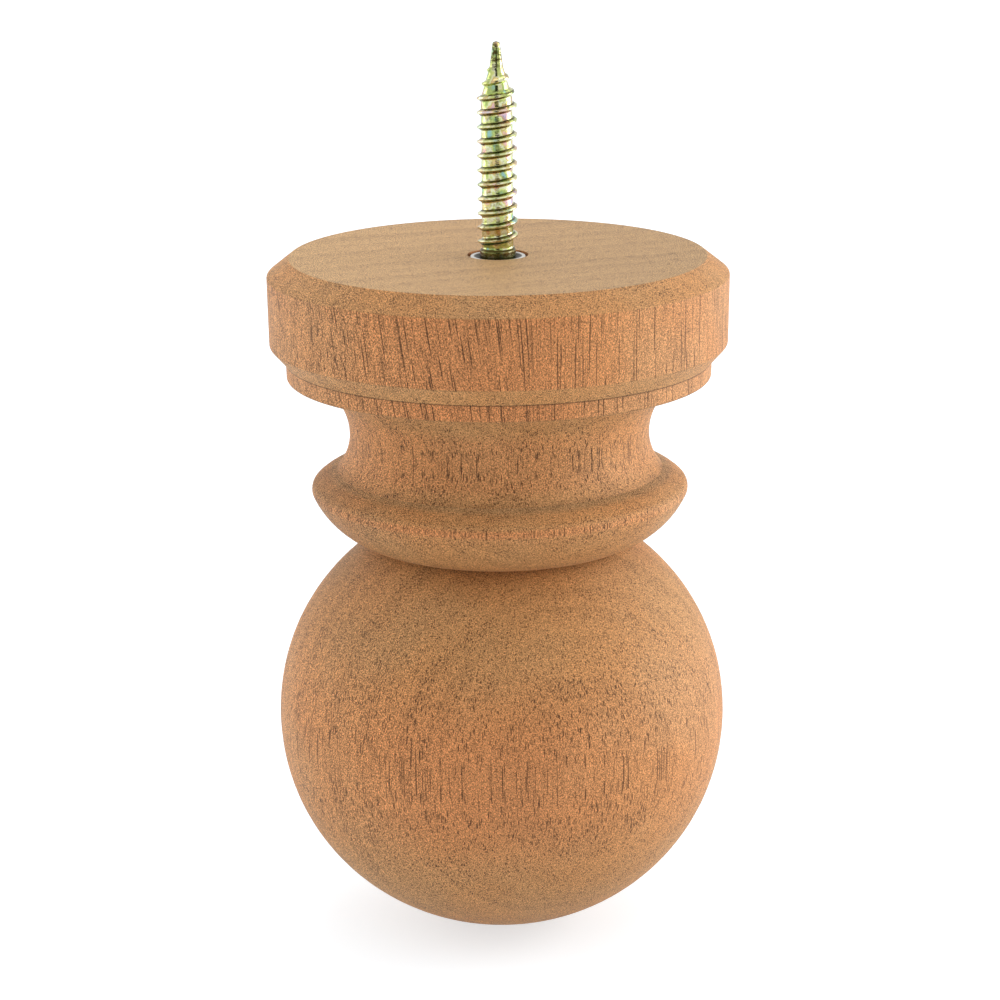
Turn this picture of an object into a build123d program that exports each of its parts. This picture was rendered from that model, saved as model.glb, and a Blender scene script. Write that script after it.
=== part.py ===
"""Globe post cap: a turned hardwood ball on a moulded neck and base flange, with a hanger bolt to fix it.

Frame: the origin is the centre of the seat face, where the cap meets its post. +Z runs up through the
globe, so the bolt points down. Sizes are in millimetres and follow from the bolt's lag thread, 9 turns
to the inch.
Each step of the moulding is a width and a height from the step below it.
"""

import os
from math import acos, cos, radians, sin, tan

from build123d import *

# Base flange: seat face inside a chamfer, nearly upright side, and the bevel that leads to the band
flange_radius = 45.65
seat_inset = 4.45
chamfer_height = 3.5
flange_side_height = 13.55
flange_side_inset = 0.2
bevel_width = 3.15
bevel_height = 3.55
arris_round = 0.4

# Second, narrower band, and the ledge from it to the cove
band_height = 3.3
band_inset = 0.1
ledge_width = 6.6
ledge_rise = 1.1

# Cove: in to the throat, then out again to the valley below the bead
cove_depth = 5.65
cove_inward_height = 10.7
cove_outward_height = 7.25
valley_flare = 2.7

# Bead: a soft shoulder, a rounded rim and an undercut side that runs in to the globe
bead_shoulder_width = 5.45
bead_shoulder_height = 3.45
bead_shoulder_bow_depth = 0.45
bead_rim_round = 2.0
bead_side_width = 11.75
bead_side_height = 11.0
bead_side_bow_depth = 1.9
quirk_width = 1.15

# Globe: slightly wider than it is tall, and slightly fuller than a true oval
globe_radius = 45.3
globe_half_height = 44.2
globe_fullness = 1.014

# Hanger bolt, 5/16 in nominal with 9 lag turns to the inch; its machine end sits in the insert
bolt_diameter = 7.94
lag_pitch = 2.822
lag_depth = 0.87
lag_crest_width = 0.32
lag_base_width = 1.25
lag_root_bury = 0.4
full_thread_turns = 10
thread_run_out = 1.6
shank_radius = 3.55
shank_below_seat = 1.0
point_length = 11.0
point_thread_sink = 0.4
nib_length = 4.9
nib_radius = 1.3
nib_tip_radius = 0.7
nib_tip_round = 0.3
machine_start = 2.0
machine_length = 13.1
machine_chamfer = 0.8

# Threaded insert and the stepped blind hole that holds it
insert_wall = 1.63
insert_length = 15.9
insert_recess = 0.2
insert_mouth_sink = 0.85
insert_rim_chamfer = 0.25
hole_relief_gap = 0.45
hole_relief_depth = 1.2
hole_end_clearance = 1.6
drill_point_angle = 118

bolt_radius = bolt_diameter / 2
insert_radius = bolt_radius + insert_wall
insert_bed_height = insert_recess + insert_length


def turned(outline):
    """Solid made by turning a closed outline, drawn as (radius, height), about the Z axis."""
    return revolve(make_face(Plane.XZ * outline), Axis.Z)


def step_from(corner, width, height):
    """The next corner of the moulding: width is outward, height is upward."""
    return (corner[0] + width, corner[1] + height)


def bowed_arc(start, end, bow_depth):
    """Arc from start to end whose middle stands off the chord by bow_depth, to the right of its direction."""
    start, end = Vector(*start), Vector(*end)
    along = (end - start).normalized()
    right = Vector(along.Y, -along.X)
    return ThreePointArc(start, (start + end) * 0.5 + right * bow_depth, end)


def cove_arc(throat, end):
    """Circular arc that is upright at the throat and runs outward to end."""
    run = end[0] - throat[0]
    rise = end[1] - throat[1]
    radius = (run ** 2 + rise ** 2) / (2 * run)
    half_turn = radians(Vector(radius - run, rise).get_angle(Vector(1, 0)) / 2)
    middle_rise = radius * sin(half_turn) * (1 if rise > 0 else -1)
    middle = step_from(throat, radius * (1 - cos(half_turn)), middle_rise)
    return ThreePointArc(throat, middle, end)


def globe_arc(centre_height, start_angle, end_angle):
    """Part of the globe's oval, from one angle to another above its widest ring, in radians."""
    pull = globe_fullness * 4 / 3 * tan((end_angle - start_angle) / 4)

    def on_oval(across, up):
        return (globe_radius * across, centre_height + globe_half_height * up)

    start_across, start_up = cos(start_angle), sin(start_angle)
    end_across, end_up = cos(end_angle), sin(end_angle)
    return Bezier(
        on_oval(start_across, start_up),
        on_oval(start_across - pull * start_up, start_up + pull * start_across),
        on_oval(end_across + pull * end_up, end_up - pull * end_across),
        on_oval(end_across, end_up),
    )


def make_turned_body():
    """Flange, band, cove, bead and globe in one turning, with the blind hole for the insert."""
    side_foot = (flange_radius, chamfer_height)
    seat_edge = (flange_radius - seat_inset, 0)
    side_head = step_from(side_foot, -flange_side_inset, flange_side_height)
    band_foot = step_from(side_head, -bevel_width, bevel_height)
    band_head = step_from(band_foot, -band_inset, band_height)
    cove_start = step_from(band_head, -ledge_width, ledge_rise)
    throat = step_from(cove_start, -cove_depth, cove_inward_height)
    valley = step_from(throat, valley_flare, cove_outward_height)
    rim = step_from(valley, bead_shoulder_width, bead_shoulder_height)
    bead_foot = step_from(rim, -bead_side_width, bead_side_height)
    globe_foot = step_from(bead_foot, -quirk_width, 0)

    # the globe stands so deep in the quirk that its oval passes through the foot
    foot_angle = acos(globe_foot[0] / globe_radius)
    centre_height = globe_foot[1] + globe_half_height * sin(foot_angle)
    crown_angle = radians(90)
    crown = (0, centre_height + globe_half_height)

    outline = Curve() + [
        Polyline((0, 0), seat_edge, side_foot, side_head, band_foot, band_head, cove_start),
        cove_arc(throat, cove_start),
        cove_arc(throat, valley),
        bowed_arc(valley, rim, bead_shoulder_bow_depth),
        bowed_arc(rim, bead_foot, bead_side_bow_depth),
        Line(bead_foot, globe_foot),
        globe_arc(centre_height, -foot_angle, 0),
        globe_arc(centre_height, 0, crown_angle),
        Line(crown, (0, 0)),
    ]
    body = turned(outline)

    def arris(radius, height):
        """The turned edge at one corner of the outline."""
        rings = body.edges().filter_by(GeomType.CIRCLE)
        return min(rings, key=lambda ring: abs(ring.radius - radius) + abs(ring.arc_center.Z - height))

    body = fillet(arris(*rim), bead_rim_round)
    for corner in (seat_edge, side_foot, side_head, band_head):
        body = fillet(arris(*corner), arris_round)

    # stepped blind hole: relief at the mouth, the insert's bed and the drill's cone
    relief_radius = insert_radius + hole_relief_gap
    cone_start = insert_bed_height + hole_end_clearance
    cone_end = cone_start + insert_radius / tan(radians(drill_point_angle / 2))
    hole = Polyline(
        (0, 0),
        (relief_radius, 0),
        (relief_radius, hole_relief_depth),
        (insert_radius, hole_relief_depth),
        (insert_radius, cone_start),
        (0, cone_end),
        close=True,
    )
    return body - turned(hole)


def make_threaded_insert():
    """Sleeve with a countersunk mouth; its outer wall beds in the wood, its bore carries the bolt."""
    mouth = insert_recess
    end = insert_bed_height
    section = Polyline(
        (bolt_radius + insert_mouth_sink, mouth),
        (insert_radius - insert_rim_chamfer, mouth),
        (insert_radius, mouth + insert_rim_chamfer),
        (insert_radius, end - insert_rim_chamfer),
        (insert_radius - insert_rim_chamfer, end),
        (bolt_radius, end),
        (bolt_radius, mouth + insert_mouth_sink),
        close=True,
    )
    return turned(section)


def lag_ridge(path):
    """Ridge of the lag thread along a helix: wide where it is buried in the root, narrow at its crest."""
    start = path @ 0
    outward = Vector(start.X, start.Y, 0).normalized()
    section_plane = Plane(origin=start, x_dir=outward, z_dir=path % 0)
    flank = (lag_base_width - lag_crest_width) / 2 / lag_depth
    crest_half = lag_crest_width / 2
    buried_half = crest_half + flank * (lag_depth + lag_root_bury)
    section = Polyline(
        (-lag_root_bury, -buried_half),
        (lag_depth, -crest_half),
        (lag_depth, crest_half),
        (-lag_root_bury, buried_half),
        close=True,
    )
    return sweep(section_plane * make_face(section), path=path, is_frenet=True)


def make_hanger_bolt():
    """Machine end, plain shank, lag thread that runs out at the shank, and a threaded point with a nib."""
    root_radius = bolt_radius - lag_depth
    shank_end = -shank_below_seat
    thread_top = shank_end
    first_crest = thread_top - thread_run_out
    point_start = first_crest - full_thread_turns * lag_pitch
    tip = point_start - point_length
    nib_top = tip + nib_length
    machine_end = machine_start + machine_length

    core_outline = Polyline(
        (0, machine_end),
        (bolt_radius - machine_chamfer, machine_end),
        (bolt_radius, machine_end - machine_chamfer),
        (bolt_radius, machine_start + machine_chamfer),
        (shank_radius, machine_start),
        (shank_radius, shank_end),
        (root_radius, shank_end - lag_root_bury),
        (root_radius, point_start),
        (nib_radius, nib_top),
        (nib_tip_radius, tip + nib_tip_round),
        (nib_tip_radius - nib_tip_round, tip),
        (0, tip),
        close=True,
    )
    # the core's seam is turned away from the place where the two ridges meet
    core = turned(core_outline).rotate(Axis.Z, 135)

    # straight turns, from the point up to the shank
    straight_path = Helix(lag_pitch, thread_top - point_start, root_radius, center=(0, 0, point_start))
    straight = lag_ridge(straight_path)

    # turns on the point: the ridge follows the cone, sinks into it a little and stops short at the nib
    cone_length = point_start - nib_top
    path_narrowing = root_radius - nib_radius + point_thread_sink
    cone_angle = Vector(1, 0).get_angle(Vector(cone_length, path_narrowing))
    point_path = Helix(
        lag_pitch,
        cone_length,
        root_radius,
        center=(0, 0, point_start),
        direction=(0, 0, -1),
        cone_angle=-cone_angle,
    )
    point = lag_ridge(point_path).rotate(Axis.Z, 180)

    # a cone takes the last turn down to nothing at the shank
    fade_slope = (bolt_radius - shank_radius) / thread_run_out
    fade_radius = bolt_radius + lag_root_bury
    fade = Polyline(
        (shank_radius, thread_top),
        (shank_radius, thread_top + lag_pitch / 2),
        (fade_radius, thread_top + lag_pitch / 2),
        (fade_radius, thread_top - (fade_radius - shank_radius) / fade_slope),
        close=True,
    )
    return core + straight + point - turned(fade)


makers = {
    "turned_body": make_turned_body,
    "threaded_insert": make_threaded_insert,
    "hanger_bolt": make_hanger_bolt,
}

os.makedirs("parts", exist_ok=True)
for name, make in makers.items():
    export_step(make(), f"parts/{name}.step")
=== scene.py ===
import math

import bpy
from mathutils import Matrix, Vector


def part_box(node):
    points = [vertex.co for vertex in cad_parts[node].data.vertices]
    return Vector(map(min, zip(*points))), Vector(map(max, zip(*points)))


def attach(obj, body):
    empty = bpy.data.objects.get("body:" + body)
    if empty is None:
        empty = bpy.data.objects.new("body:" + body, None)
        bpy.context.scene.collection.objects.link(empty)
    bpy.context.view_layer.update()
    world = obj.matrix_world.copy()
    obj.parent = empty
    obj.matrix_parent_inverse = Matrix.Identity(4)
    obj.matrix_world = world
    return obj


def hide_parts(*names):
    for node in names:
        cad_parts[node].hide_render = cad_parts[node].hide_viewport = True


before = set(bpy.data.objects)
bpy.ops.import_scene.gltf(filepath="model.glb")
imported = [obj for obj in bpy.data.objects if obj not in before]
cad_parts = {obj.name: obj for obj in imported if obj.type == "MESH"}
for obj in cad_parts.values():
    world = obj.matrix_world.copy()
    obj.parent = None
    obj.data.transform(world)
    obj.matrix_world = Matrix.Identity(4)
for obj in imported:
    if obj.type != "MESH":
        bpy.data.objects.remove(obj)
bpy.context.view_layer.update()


CROWN_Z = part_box("turned_body")[1].z


# Shader writing --------------------------------------------------------------

class Value:
    """A number that changes over a surface. Sums and products of it add Math nodes."""

    def __init__(self, finish, socket):
        self.finish = finish
        self.socket = socket

    def by(self, operation, first, second=None, clamp=False):
        """The outcome of one Math operation."""
        inputs = [first] if second is None else [first, second]
        made = self.finish.node("ShaderNodeMath", {"operation": operation, "use_clamp": clamp}, inputs)
        return Value(self.finish, made.outputs[0])

    def __add__(self, other):
        return self.by("ADD", self, other)

    def __radd__(self, other):
        return self.by("ADD", other, self)

    def __sub__(self, other):
        return self.by("SUBTRACT", self, other)

    def __rsub__(self, other):
        return self.by("SUBTRACT", other, self)

    def __mul__(self, other):
        return self.by("MULTIPLY", self, other)

    def __rmul__(self, other):
        return self.by("MULTIPLY", other, self)

    def __truediv__(self, other):
        return self.by("DIVIDE", self, other)

    def __pow__(self, power):
        return self.by("POWER", self, power)

    def __abs__(self):
        return self.by("ABSOLUTE", self)

    def __neg__(self):
        return self.by("MULTIPLY", self, -1.0)

    def held(self):
        """The number kept between 0 and 1."""
        return self.by("ADD", self, 0.0, clamp=True)

    def most(self, other):
        return self.by("MAXIMUM", self, other)

    def least(self, other):
        return self.by("MINIMUM", self, other)

    def sine(self):
        return self.by("SINE", self)

    def cosine(self):
        return self.by("COSINE", self)

    def off_whole(self):
        """How far the number is from the nearest whole number."""
        return self.by("PINGPONG", self, 0.5)

    def rise(self, low, high):
        """0 below low, 1 above high, and smooth between."""
        made = self.finish.node(
            "ShaderNodeMapRange", {"interpolation_type": "SMOOTHSTEP"},
            {"Value": self, "From Min": low, "From Max": high})
        return Value(self.finish, made.outputs[0])

    def fall(self, low, high):
        """1 below low, 0 above high, and smooth between."""
        return 1.0 - self.rise(low, high)


class Finish:
    """One material while it is being written."""

    def __init__(self, name, world=None):
        self.owner = world or bpy.data.materials.new(name)
        self.owner.use_nodes = True
        self.tree = self.owner.node_tree
        self.tree.nodes.clear()

    def node(self, kind, settings=None, inputs=None):
        """A node with its settings put on first, then the values or links of its sockets."""
        made = self.tree.nodes.new(kind)
        for name, value in (settings or {}).items():
            if name == "stops":
                self._set_stops(made.color_ramp, value)
            elif name == "bends":
                self._set_bends(made.mapping, value)
            else:
                setattr(made, name, value)
        pairs = inputs.items() if isinstance(inputs, dict) else enumerate(inputs or [])
        for name, value in pairs:
            self.feed(made.inputs[name], value)
        return made

    def _set_stops(self, ramp, stops):
        while len(ramp.elements) > 1:
            ramp.elements.remove(ramp.elements[-1])
        for index, (place, colour) in enumerate(stops):
            element = ramp.elements[0] if index == 0 else ramp.elements.new(place)
            element.position = place
            element.color = (*colour, 1.0)

    def _set_bends(self, mapping, bends):
        """The corners of a straight-sided curve, each a place and a height from 0 to 1."""
        points = mapping.curves[0].points
        for place, height in bends[1:-1]:
            points.new(place, height)
        for point, (place, height) in zip(points, bends):
            point.location = (place, height)
            point.handle_type = "VECTOR"
        mapping.update()

    def feed(self, socket, value):
        if isinstance(value, Value):
            self.tree.links.new(value.socket, socket)
        elif isinstance(value, bpy.types.NodeSocket):
            self.tree.links.new(value, socket)
        elif isinstance(value, tuple) and len(value) == 3 and socket.type == "RGBA":
            socket.default_value = (*value, 1.0)
        else:
            socket.default_value = value

    # places and patterns

    def place(self):
        """The point's place on the object, in metres."""
        return self.node("ShaderNodeTexCoord").outputs["Object"]

    def parts(self, vector):
        """The three numbers of a vector."""
        made = self.node("ShaderNodeSeparateXYZ", None, [vector])
        return [Value(self, output) for output in made.outputs]

    def vector(self, x, y, z):
        return self.node("ShaderNodeCombineXYZ", None, [x, y, z]).outputs[0]

    def moved(self, vector, shift):
        return self.node("ShaderNodeVectorMath", {"operation": "ADD"}, [vector, shift]).outputs[0]

    def scaled(self, vector, factors):
        return self.node("ShaderNodeVectorMath", {"operation": "MULTIPLY"}, [vector, factors]).outputs[0]

    def noise(self, vector, scale=1.0, detail=2.0, roughness=0.5):
        made = self.node("ShaderNodeTexNoise", {"noise_dimensions": "3D"}, {
            "Vector": vector, "Scale": scale, "Detail": detail, "Roughness": roughness})
        return Value(self, made.outputs[0])

    def wobble(self, vector, scale, amount, detail=1.0):
        """The vector pushed about by a soft noise, the same amount each way."""
        made = self.node("ShaderNodeTexNoise", {"noise_dimensions": "3D"}, {
            "Vector": vector, "Scale": scale, "Detail": detail})
        centred = self.moved(made.outputs["Color"], (-0.5, -0.5, -0.5))
        return self.node("ShaderNodeVectorMath", {"operation": "MULTIPLY_ADD"},
                         [centred, (amount, amount, amount), vector]).outputs[0]

    def cells(self, vector):
        """Distance to the nearest of many scattered points, and a colour that is the cell's own."""
        made = self.node("ShaderNodeTexVoronoi", {"voronoi_dimensions": "3D", "feature": "F1"}, {
            "Vector": vector, "Scale": 1.0, "Randomness": 1.0})
        return Value(self, made.outputs["Distance"]), made.outputs["Color"]

    # colours

    def mix(self, factor, first, second, blend="MIX"):
        made = self.node("ShaderNodeMix", {"data_type": "RGBA", "blend_type": blend, "clamp_factor": True})
        self.feed(made.inputs[0], factor)
        self.feed(made.inputs[6], first)
        self.feed(made.inputs[7], second)
        return made.outputs[2]

    def ramp(self, factor, stops):
        return self.node("ShaderNodeValToRGB", {"stops": stops}, [factor]).outputs[0]

    # rays and distances

    def out(self, x, y):
        """Distance from the cap's axis."""
        return (x * x + y * y) ** 0.5

    def seen_ray(self):
        """1 for rays that show white surroundings as they look: the camera's, mirrored and passed ones."""
        rays = self.node("ShaderNodeLightPath").outputs
        seen = Value(self, rays["Is Camera Ray"]).most(Value(self, rays["Is Glossy Ray"]))
        return seen.most(Value(self, rays["Is Transmission Ray"]))

    def end(self, shader):
        owner_kind = "World" if isinstance(self.owner, bpy.types.World) else "Material"
        self.node("ShaderNodeOutput" + owner_kind, None, {"Surface": shader})
        return self.owner


# Wood --------------------------------------------------------------------------

# Growth layers are nearly flat sheets; their pore rows are named by depth along this direction, in mm
LAYER_FACING = (-0.374, -0.926, -0.052)
LAYER_SPAN = 50.0
LAYER_START = 0.0049
PORE_ROWS = (
    # depth, strength, width towards the front
    (-44.0, 0.5, 2.0), (-36.0, 0.8, 3.0), (-24.5, 1.0, 5.0), (-17.0, 0.5, 2.0), (-9.5, 0.8, 3.0),
    (-2.0, 0.5, 2.0), (5.0, 0.8, 2.6), (10.5, 0.5, 1.8), (17.5, 1.0, 2.6), (24.0, 0.7, 2.0),
    (33.0, 0.8, 1.6), (36.0, 0.7, 1.4), (39.6, 0.4, 1.2), (43.6, 0.6, 1.0))
# Fibres and vessels to the metre, across and along the grain
VESSELS, FINE_VESSELS = (2600.0, 2600.0, 80.0), (4300.0, 4300.0, 260.0)
BROKEN_FLECKS, SANDED_FIBRE = (1700.0, 1700.0, 480.0), (6500.0, 6500.0, 3600.0)

REDDISH, ROSE_TAN, UNSHEENED_MIDDLE_RED = (0.522, 0.232, 0.086), (0.502, 0.245, 0.100), (0.528, 0.210, 0.074)
TAN, PALE_TAN, SEAT_TAN = (0.470, 0.225, 0.080), (0.455, 0.236, 0.092), (0.430, 0.262, 0.118)
VESSEL_BROWN = (0.086, 0.035, 0.013)

# Heights of the moulding's corners, in metres
BEVEL_FOOT, BAND_FOOT, BAND_HEAD, VALLEY = 0.01705, 0.0206, 0.0239, 0.04295


def row_stops():
    """The pore rows as stops of a ramp across the cap: sharp behind, fading in front."""
    stops = []
    for depth, strength, width in PORE_ROWS:
        at = (depth + LAYER_SPAN) / (2 * LAYER_SPAN)
        step = width / (2 * LAYER_SPAN)
        stops.append((at - 0.45 * step, (0.0, 0.0, 0.0)))
        stops.append((at, (strength, strength, strength)))
    return [(0.0, (0.0, 0.0, 0.0))] + stops + [(1.0, (0.0, 0.0, 0.0))]


def make_turned_hardwood():
    """Bare sanded reddish hardwood with its grain along the cap's axis."""
    f = Finish("turned_hardwood")
    place = f.place()
    x, y, z = f.parts(place)
    facing = f.node("ShaderNodeNewGeometry").outputs["Normal"]
    up = f.parts(facing)[2]
    end_grain = abs(up).rise(0.10, 0.62)
    seat = (-up).rise(0.86, 0.96)

    # growth layers
    drifted = f.wobble(f.scaled(place, (1.0, 1.0, 0.5)), 90.0, 0.0035, 2.0)
    along = f.node("ShaderNodeVectorMath", {"operation": "DOT_PRODUCT"}, [drifted, LAYER_FACING])
    depth = Value(f, along.outputs["Value"])
    rows = Value(f, f.ramp((depth + LAYER_START) * (500.0 / LAYER_SPAN) + 0.5, row_stops()))

    # vessels: long thin tubes along the grain, which show as lines, dashes or dots as the surface cuts them
    lean = x.rise(-0.012, 0.004) * z.least(0.026) * 0.14
    grain = f.wobble(f.scaled(place, (1.0, 1.0, 0.35)), 45.0, 0.0030, 1.0)
    grain = f.moved(grain, f.vector(lean, 0.0, 0.0))
    crowd = f.noise(f.scaled(place, (1.0, 1.0, 0.25)), 330.0, 2.0, 0.6)
    near, own = f.cells(f.scaled(grain, VESSELS))
    boldness = f.parts(own)[0]
    hollow = z.rise(0.0240, 0.0275) * z.fall(0.0390, 0.0450)
    reach = 0.19 + boldness * 0.13 + rows * 0.07 + hollow * 0.03 + (crowd - 0.5) * 0.32
    beads = f.noise(f.scaled(place, (3000.0, 3000.0, 900.0)), 1.0, 1.0, 0.6)
    vessels = near.fall(reach - 0.04, reach + 0.04) * (0.35 + boldness * 0.75) * (0.30 + beads * 1.6)
    fine_near, fine_own = f.cells(f.scaled(grain, FINE_VESSELS))
    fine = fine_near.fall(0.22, 0.42) * f.parts(fine_own)[0]
    vessels = vessels.most(fine * 0.60)

    # broken flecks on the left, where the growth sheets meet the surface edge on
    left = x.rise(0.004, 0.030)
    broken = f.noise(f.scaled(grain, BROKEN_FLECKS), 1.0, 2.0, 0.7)
    vessels = vessels.most(broken.rise(0.57, 0.66) * left * (0.15 + boldness * 0.5)).held()

    # sanded fibre, and slow changes of tone
    fleck = f.noise(f.scaled(place, SANDED_FIBRE), 1.0, 1.0, 0.7)
    mottle = f.noise(f.scaled(place, (620.0, 620.0, 160.0)), 1.0, 2.0, 0.6)
    cloud = f.noise(place, 45.0, 2.0, 0.5)

    # colour: redder on the sides, tanner where the grain ends, and painted redder towards the middle of the
    # front so that the sides read paler as a painted sheen
    side_colour = f.mix(cloud.rise(0.35, 0.65), REDDISH, ROSE_TAN)
    end_colour = f.mix(cloud.rise(0.35, 0.65), TAN, PALE_TAN)
    # painted sheen: the middle of the front redder, the sides left paler as a sheen would make them
    side_colour = f.mix(abs(x - 0.004).fall(0.006, 0.034) * 0.8, side_colour, UNSHEENED_MIDDLE_RED)
    base = f.mix(end_grain.most(hollow * 0.55), side_colour, end_colour)
    base = f.mix(seat, base, SEAT_TAN)
    base = f.mix(vessels * 0.94, base, VESSEL_BROWN)

    # light and dark: grit and pore rows, with painted shade in the moulding's corners and on the left below
    # the valley, a painted highlight on the bevel and a painted light gradient across the seat
    grit = (fleck - 0.5) * (4.6 + left * 2.0 + seat * 3.0) + (mottle - 0.5) * 0.24
    shade = (1.23 + left * 0.03 + grit - rows * 0.19 + hollow * 0.05).most(0.25)
    # painted shade: a dark line in the corner at the band's foot, beaded along its length
    corner_shade = abs(z - BAND_FOOT).fall(0.00004, 0.00024) * f.out(x, y).rise(0.0415, 0.0419)
    # painted shade: patchy darkening on the left, from the valley over the bead onto the top of the ball
    left_shade = x.rise(0.016, 0.036) * z.rise(0.0400, 0.0460) * z.fall(0.0620, 0.0820)
    shade = shade * (1.0 - corner_shade * (0.25 + beads * 0.6)) * (1.0 - left_shade * cloud * 0.40)
    # painted highlight: the bevel lightened
    bevel_highlight = z.rise(BEVEL_FOOT, BEVEL_FOOT + 0.0005) * z.fall(BAND_FOOT - 0.0004, BAND_FOOT)
    # painted shade: a thin dark line at the band's head
    band_head_shade = abs(z - BAND_HEAD).fall(0.0001, 0.0005)
    # painted shade: a dark line along the valley
    valley_shade = abs(z - VALLEY).fall(0.0003, 0.0014)
    # painted light: the seat lighter to the left and darker to the right, together with the bevel's painted
    # highlight and the painted lines at the band's head and the valley
    shade = shade * (1.0 + seat * x * 2.0 + bevel_highlight * 0.09 - band_head_shade * 0.16 - valley_shade * 0.12)
    base = f.mix(1.0, base, shade, "MULTIPLY")

    height = fleck * 0.5 - vessels
    bump = f.node("ShaderNodeBump", None, {"Strength": 0.35, "Distance": 0.00008, "Height": height})
    shader = f.node("ShaderNodeBsdfPrincipled", None, {
        "Base Color": base, "Roughness": 0.62, "Specular IOR Level": 0.26,
        "Sheen Weight": 0.02, "Sheen Roughness": 0.5, "Normal": bump.outputs[0]})
    return f.end(shader.outputs[0])


def make_yellow_zinc():
    """Yellow passivated zinc: olive, lime, gold, rose and teal in patches, with painted shade and dullness
    in the thread's roots and where the screw leaves the insert, grime in patches and at the nib, and a
    painted highlight on the crests.
    """
    f = Finish("yellow_zinc")
    place = f.place()
    x, y, z = f.parts(place)
    out = f.out(x, y)
    patches = f.noise(f.scaled(place, (380.0, 380.0, 300.0)), 1.0, 2.0, 0.6)
    colour = f.ramp(patches, [
        (0.30, (0.26, 0.46, 0.42)), (0.39, (0.34, 0.44, 0.14)), (0.46, (0.58, 0.62, 0.22)),
        (0.52, (0.68, 0.68, 0.48)), (0.58, (0.56, 0.46, 0.14)), (0.65, (0.66, 0.40, 0.38)),
        (0.73, (0.44, 0.40, 0.54))])
    # painted highlight: the thread's crests paler and more golden
    crest = out.rise(0.00365, 0.00394)
    colour = f.mix(crest * 0.35, colour, (0.78, 0.72, 0.50))
    grime = f.noise(f.scaled(place, (900.0, 900.0, 1500.0)), 1.0, 3.0, 0.65)
    # painted shade: dark in the thread's roots beside the flanks
    root_shade = out.rise(0.00312, 0.00322) * out.fall(0.00335, 0.00365)
    nib = z.fall(-0.0385, -0.0355) * grime.rise(0.38, 0.56)
    # painted shade: dark where the screw leaves the insert
    collar = abs(z + 0.0002).fall(0.0004, 0.0016)
    # real grime in patches and at the nib, joined with the painted shade of the roots and the collar; it
    # also roughens the zinc
    grime_and_shade = (grime.rise(0.50, 0.72) * 0.6 + root_shade * 0.85 + collar * 0.55 + nib * 0.8).held()
    colour = f.mix(grime_and_shade, colour, (0.075, 0.060, 0.016))
    rough = 0.06 + grime * 0.20 + grime_and_shade * 0.15
    bump = f.node("ShaderNodeBump", None, {"Strength": 0.25, "Distance": 0.00006, "Height": grime})
    shader = f.node("ShaderNodeBsdfPrincipled", None, {
        "Base Color": colour, "Metallic": 1.0, "Roughness": rough, "Normal": bump.outputs[0]})
    return f.end(shader.outputs[0])


def make_bright_zinc():
    """Bright zinc: pale on the insert's rim, in shadow down its mouth and in the gap to the wood."""
    f = Finish("bright_zinc")
    place = f.place()
    x, y, z = f.parts(place)
    out = f.out(x, y)
    patches = f.noise(place, 400.0, 2.0, 0.5)
    colour = f.mix(patches, (0.50, 0.50, 0.47), (0.66, 0.65, 0.61))
    shadowed = (out.fall(0.00465, 0.00485) + out.rise(0.00545, 0.00555)).held()
    colour = f.mix(shadowed * 0.93, colour, (0.030, 0.026, 0.020))
    shader = f.node("ShaderNodeBsdfPrincipled", None, {
        "Base Color": colour, "Metallic": 1.0, "Roughness": 0.35})
    return f.end(shader.outputs[0])


def dress(node, finish):
    """A CAD piece keeps its shape and takes this finish."""
    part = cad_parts[node]
    part.data.materials.clear()
    part.data.materials.append(finish)


# Screw ---------------------------------------------------------------------------

# The screw's outline: height in mm and the core's radius there, from the tip up to the end in the insert
SCREW_CORE = (
    (-41.82, 0.0), (-41.80, 0.40), (-41.52, 0.70), (-36.92, 1.30), (-30.82, 3.10), (-1.40, 3.10),
    (-1.00, 3.55), (2.00, 3.55), (2.80, 3.97), (14.30, 3.97), (15.07, 3.17), (15.10, 0.0))
# How far the ridge stands off the core: full along the shank, sinking into the point, gone at the nib
SCREW_RIDGE = (
    (-41.82, 0.0), (-36.90, 0.0), (-36.30, 0.44), (-30.82, 0.87), (-2.60, 0.87), (-1.02, 0.0), (15.10, 0.0))
TIP, END = SCREW_CORE[0][0], SCREW_CORE[-1][0]
FIRST_CREST = -30.82
TURNS_BELOW = 5.0
CREST_CROWDING = 0.7
SEAM_DISTANCE = 0.000001
METRES_IN_MM = 0.001


class Rule(Finish):
    """A Geometry Nodes tree while it is being written."""

    def __init__(self, name):
        self.tree = bpy.data.node_groups.new(name, "GeometryNodeTree")
        self.tree.interface.new_socket("Mesh", in_out="OUTPUT", socket_type="NodeSocketGeometry")
        self.inlet = self.tree.nodes.new("NodeGroupInput")
        self.values = {}

    def size(self, name, value, kind="NodeSocketFloat"):
        """A named size of the rule, as a number to reckon with."""
        socket = self.tree.interface.new_socket(name, in_out="INPUT", socket_type=kind)
        self.values[socket.identifier] = value
        return Value(self, self.inlet.outputs[name])

    def read_off(self, height, corners, most):
        """The number that a straight-sided outline has at this height."""
        bends = [((at - TIP) / (END - TIP), value / most) for at, value in corners]
        curve = self.node("ShaderNodeFloatCurve", {"bends": bends}, {"Value": (height - TIP) / (END - TIP)})
        return Value(self, curve.outputs[0]) * most


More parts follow.
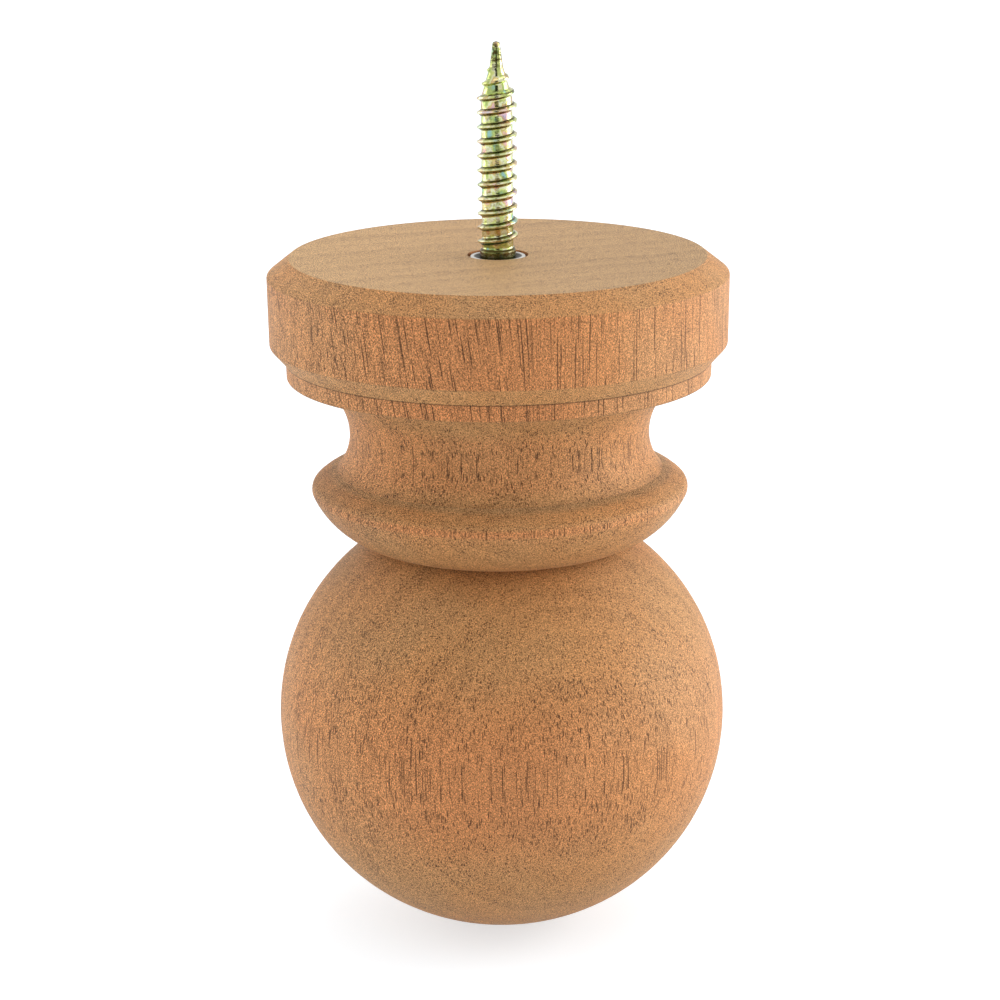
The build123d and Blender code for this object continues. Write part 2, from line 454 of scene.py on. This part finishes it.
def make_screw(finish):
    """Lag end of the hanger bolt: rows of points that run round the shank at the thread's own pitch."""
    g = Rule("lag_thread")
    pitch = g.size("Pitch", 2.822)
    crest_width = g.size("Crest width", 0.34)
    base_width = g.size("Base width", 1.30)
    wear = g.size("Wear of the crest", 0.05)
    rows = g.size("Rows in a turn", 20, "NodeSocketInt")
    turns = g.size("Turns from end to end", 22, "NodeSocketInt")
    round_count = g.size("Points round", 72, "NodeSocketInt")
    count = rows * turns
    grid = g.node("GeometryNodeMeshGrid", None, [count, 1.0, count + 1.0, round_count + 1.0])
    spot = g.node("GeometryNodeInputPosition").outputs[0]
    along, across, _ = g.parts(spot)
    turn = across + 0.5
    row = (along + count * 0.5) / rows - TURNS_BELOW

    # rows lie close together on the crest and wide apart in the root
    swing = row * math.tau
    step = row - swing.sine() * (CREST_CROWDING / math.tau)
    height = (FIRST_CREST + pitch * (step + turn)).most(TIP).least(END)
    off_crest = step.off_whole() * pitch
    ridge = ((base_width * 0.5 - off_crest) / ((base_width - crest_width) * 0.5)).held()
    ridge = ridge * g.read_off(height, SCREW_RIDGE, 1.0)
    angle = turn * math.tau
    away, side = angle.cosine(), angle.sine()
    worn = g.noise(g.vector(away, side, height * 0.4), 3.0, 2.0, 0.6)
    radius = g.read_off(height, SCREW_CORE, 4.0) + ridge * (1.0 - worn * wear)
    placed = g.vector(radius * away * METRES_IN_MM, radius * side * METRES_IN_MM, height * METRES_IN_MM)
    shaped = g.node("GeometryNodeSetPosition", None, {"Geometry": grid.outputs[0], "Position": placed})
    closed = g.node("GeometryNodeMergeByDistance", None, {
        "Geometry": shaped.outputs[0], "Distance": SEAM_DISTANCE})
    turned = g.node("GeometryNodeFlipFaces", None, [closed.outputs[0]])
    smooth = g.node("GeometryNodeSetShadeSmooth", None, [turned.outputs[0]])
    real = g.node("GeometryNodeRealizeInstances", None, [smooth.outputs[0]])
    clad = g.node("GeometryNodeSetMaterial", None, {"Geometry": real.outputs[0], "Material": finish})
    g.node("NodeGroupOutput", None, [clad.outputs[0]])

    screw = bpy.data.objects.new("lag_screw", bpy.data.meshes.new("lag_screw_rule"))
    bpy.context.scene.collection.objects.link(screw)
    maker = screw.modifiers.new("thread", "NODES")
    maker.node_group = g.tree
    for identifier, value in g.values.items():
        maker[identifier] = value
    seen_as = screw.evaluated_get(bpy.context.evaluated_depsgraph_get())
    mesh = bpy.data.meshes.new_from_object(seen_as)
    screw.modifiers.clear()
    screw.data = mesh
    mesh.name = "lag_screw"
    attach(screw, "root")
    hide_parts("hanger_bolt")
    return screw


# Studio ------------------------------------------------------------------------

def make_sheet(name, corners):
    """One flat four-sided piece of the studio."""
    mesh = bpy.data.meshes.new(name)
    mesh.from_pydata(corners, [], [(0, 1, 2, 3)])
    sheet = bpy.data.objects.new(name, mesh)
    bpy.context.scene.collection.objects.link(sheet)
    return sheet


def make_floor():
    """The pale table that the globe's crown rests on, seen only from the cap's side."""
    half = 3.0
    floor = make_sheet("floor", [
        (-half, -half, CROWN_Z), (-half, half, CROWN_Z), (half, half, CROWN_Z), (half, -half, CROWN_Z)])
    f = Finish("pale_floor")
    seen = f.seen_ray()
    behind = f.node("ShaderNodeNewGeometry").outputs["Backfacing"]
    paper = f.node("ShaderNodeBsdfDiffuse", None, {"Color": (0.62, 0.65, 0.68)})
    glow = f.node("ShaderNodeEmission", None, {"Color": (0.93, 0.97, 1.0), "Strength": 0.25 + seen * 0.38})
    both = f.node("ShaderNodeAddShader", None, [paper.outputs[0], glow.outputs[0]])
    clear = f.node("ShaderNodeBsdfTransparent")
    shader = f.node("ShaderNodeMixShader", None, [behind, both.outputs[0], clear.outputs[0]])
    floor.data.materials.append(f.end(shader.outputs[0]))


def make_surroundings():
    """Soft light from all round, and white where it is seen or mirrored."""
    world = bpy.data.worlds.new("studio")
    bpy.context.scene.world = world
    f = Finish("studio", world)
    strength = 0.86 + f.seen_ray() * 0.14
    made = f.node("ShaderNodeBackground", None, {"Color": (1.0, 1.0, 1.0), "Strength": strength})
    f.end(made.outputs[0])


def make_dark_card():
    """Black cloth behind the camera: metal mirrors it as the dark strip along its middle."""
    half, low, high, back = 0.27, -0.9, 0.7, -1.05
    card = make_sheet("dark_card", [
        (-half, back, low), (half, back, low), (half, back, high), (-half, back, high)])
    f = Finish("black_cloth")
    seen = f.node("ShaderNodeLightPath").outputs["Is Camera Ray"]
    cloth = f.node("ShaderNodeBsdfDiffuse", None, {"Color": (0.02, 0.02, 0.02)})
    clear = f.node("ShaderNodeBsdfTransparent")
    shader = f.node("ShaderNodeMixShader", None, [seen, cloth.outputs[0], clear.outputs[0]])
    card.data.materials.append(f.end(shader.outputs[0]))


def make_lamp(name, place, target, size, watts):
    """A soft lamp, its size across and up and down, turned to the target."""
    data = bpy.data.lights.new(name, "AREA")
    data.shape = "RECTANGLE"
    data.size, data.size_y = size
    data.energy = watts
    lamp = bpy.data.objects.new(name, data)
    bpy.context.scene.collection.objects.link(lamp)
    place = Vector(place)
    lamp.location = place
    lamp.rotation_euler = (Vector(target) - place).to_track_quat("-Z", "Y").to_euler()


def make_camera():
    """The photo's view: the cap upside down on its crown, seen a little from above."""
    data = bpy.data.cameras.new("camera")
    data.sensor_width = 36.0
    data.lens = 106.49
    camera = bpy.data.objects.new("camera", data)
    bpy.context.scene.collection.objects.link(camera)
    turn = Matrix.Rotation(math.radians(105.316), 4, "X") @ Matrix.Rotation(math.radians(179.513), 4, "Z")
    camera.matrix_world = Matrix.Translation((0.0, -0.57506, -0.10730)) @ turn
    bpy.context.scene.camera = camera


scene = bpy.context.scene
scene.view_settings.view_transform = "Standard"
dress("turned_body", make_turned_hardwood())
dress("threaded_insert", make_bright_zinc())
yellow_zinc = make_yellow_zinc()
dress("hanger_bolt", yellow_zinc)
make_screw(yellow_zinc)
make_floor()
make_dark_card()
make_surroundings()
middle = (0.0, 0.0, 0.05)
make_lamp("right_window", (-0.95, 0.15, -0.05), middle, (0.7, 1.0), 9.0)
make_lamp("left_window", (0.9, 0.35, -0.05), middle, (0.6, 1.0), 2.6)
make_lamp("ceiling_cloth", (-0.05, 0.45, -0.95), middle, (0.8, 0.8), 1.8)
make_camera()
